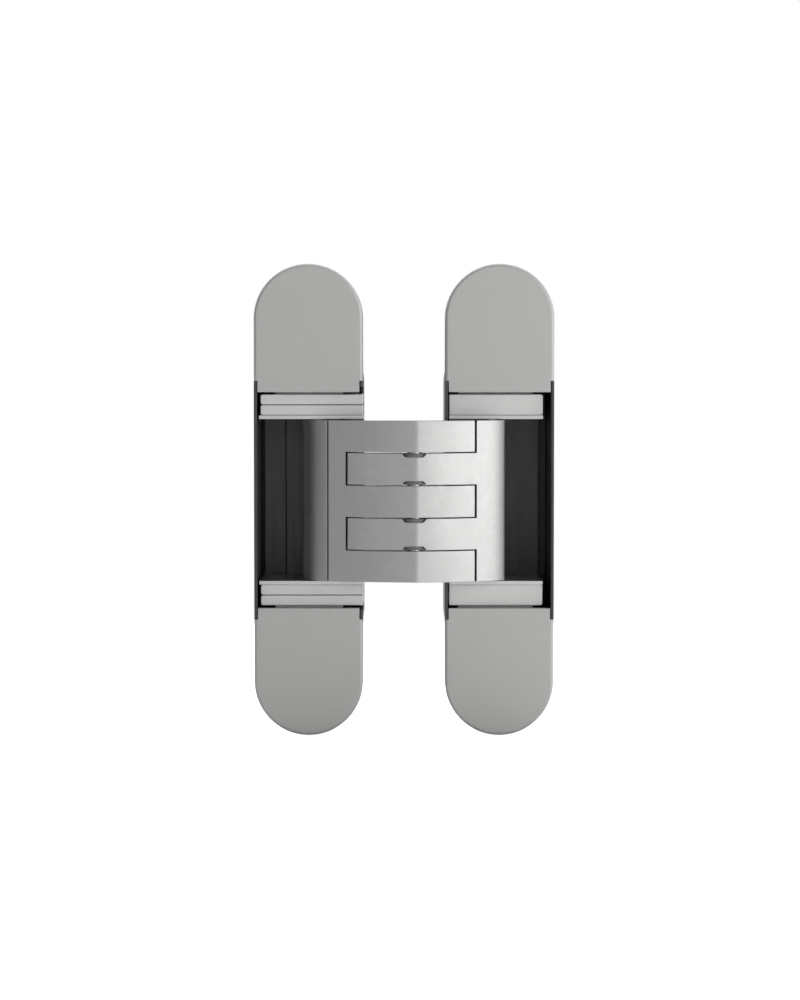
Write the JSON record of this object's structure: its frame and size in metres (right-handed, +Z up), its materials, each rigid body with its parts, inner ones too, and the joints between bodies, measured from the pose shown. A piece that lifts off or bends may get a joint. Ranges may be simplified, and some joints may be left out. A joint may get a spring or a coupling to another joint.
{
  "type": "concealed door hinge",
  "caption": "Concealed door hinge, open flat: two let-in bodies joined by interleaved crossing arms that fold into their pockets, with height, side and pressure adjustment.",
  "frame": {"origin": "middle of the frame body in its face plane, flush with the wood", "axes": "+X from the frame body to the door body with the hinge open, +Y into the wood, +Z up along the pins"},
  "size_m": [0.0826, 0.0431, 0.13],
  "materials": {
    "body_black": "fine matt black coat on die-cast metal",
    "web_black": "matt black coat on sheet steel",
    "cap_silver": "fine matt silver coat",
    "block_silver": "matt silver coat on die-cast metal",
    "track_steel": "satin steel",
    "arm_nickel": "satin nickel, finely blasted",
    "pin_steel": "ground steel",
    "screw_zinc": "zinc plated",
    "bronze": "sintered bronze",
    "bush_grey": "dark grey acetal",
    "washer_grey": "grey filled plastic"
  },
  "bodies": {
    "frame": {"frame_housing": "body_black", "frame_cover_top": "cap_silver", "frame_cover_bottom": "cap_silver", "frame_clamp_screws": "screw_zinc"},
    "frame_bracket": {"frame_bracket_top": "block_silver", "frame_bracket_bottom": "block_silver", "frame_bracket_web": "web_black"},
    "side_screw_top": {"side_screw_top": "screw_zinc", "side_screw_clip_top": "screw_zinc"},
    "side_screw_bottom": {"side_screw_bottom": "screw_zinc", "side_screw_clip_bottom": "screw_zinc"},
    "frame_carrier": {"frame_cheek_top": "block_silver", "frame_cheek_bottom": "block_silver", "frame_track_top": "track_steel", "frame_track_bottom": "track_steel", "frame_web": "web_black", "frame_pivot_pin": "pin_steel", "frame_pivot_spacers": "bush_grey"},
    "arm_b": {"arm_b": "arm_nickel", "arm_b_slider_pin": "pin_steel", "arm_b_slider_bushes": "bush_grey", "centre_bushes": "bronze", "thrust_washers": "washer_grey"},
    "arm_a": {"arm_a": "arm_nickel", "arm_a_slider_pin": "pin_steel", "arm_a_slider_bushes": "bush_grey", "centre_pin": "pin_steel"},
    "door_carrier": {"door_cheek_top": "block_silver", "door_cheek_bottom": "block_silver", "door_track_top": "track_steel", "door_track_bottom": "track_steel", "door_web": "web_black", "door_pivot_pin": "pin_steel", "door_pivot_spacers": "bush_grey"},
    "door_body": {"door_housing": "body_black", "door_cover_top": "cap_silver", "door_cover_bottom": "cap_silver", "door_clamp_screws": "screw_zinc"}
  },
  "joints": [
    {"name": "height_adjust", "type": "slide", "parent": "frame", "child": "frame_bracket", "axis": [0, 0, 1], "range_m": [-0.0015, 0.0015]},
    {"name": "side_adjust", "type": "slide", "parent": "frame_bracket", "child": "frame_carrier", "axis": [0, 1, 0], "range_m": [-0.001, 0.001]},
    {"name": "side_screw_top_turn", "type": "hinge", "parent": "frame_bracket", "child": "side_screw_top", "pos_m": [0, 0.0047, 0.0334], "axis": [0, 1, 0], "range_deg": [-520, 520]},
    {"name": "side_screw_bottom_turn", "type": "hinge", "parent": "frame_bracket", "child": "side_screw_bottom", "pos_m": [0, 0.0047, -0.0334], "axis": [0, 1, 0], "range_deg": [-520, 520]},
    {"name": "arm_swing", "type": "hinge", "parent": "frame_carrier", "child": "arm_b", "pos_m": [0.0113, 0.011, 0], "axis": [0, 0, -1], "range_deg": [0, 100.88]},
    {"name": "arm_cross", "type": "hinge", "parent": "arm_b", "child": "arm_a", "pos_m": [0.0292, -0.0042, 0], "axis": [0, 0, -1], "range_deg": [-18.8, 0.05]},
    {"name": "door_swing", "type": "hinge", "parent": "arm_a", "child": "door_carrier", "pos_m": [0.0427, 0.011, 0], "axis": [0, 0, -1], "range_deg": [-0.05, 97.92]},
    {"name": "pressure_adjust", "type": "slide", "parent": "door_carrier", "child": "door_body", "axis": [1, 0, 0], "range_m": [-0.002, 0]}
  ],
  "couplings": [
    {"joint": "side_screw_top_turn", "follows": "side_adjust", "rad_per_m": -8976},
    {"joint": "side_screw_bottom_turn", "follows": "side_adjust", "rad_per_m": -8976},
    {"joint": "arm_cross", "follows": "arm_swing", "ratio": -0.18589},
    {"joint": "door_swing", "follows": "arm_swing", "ratio": 0.97017}
  ]
}
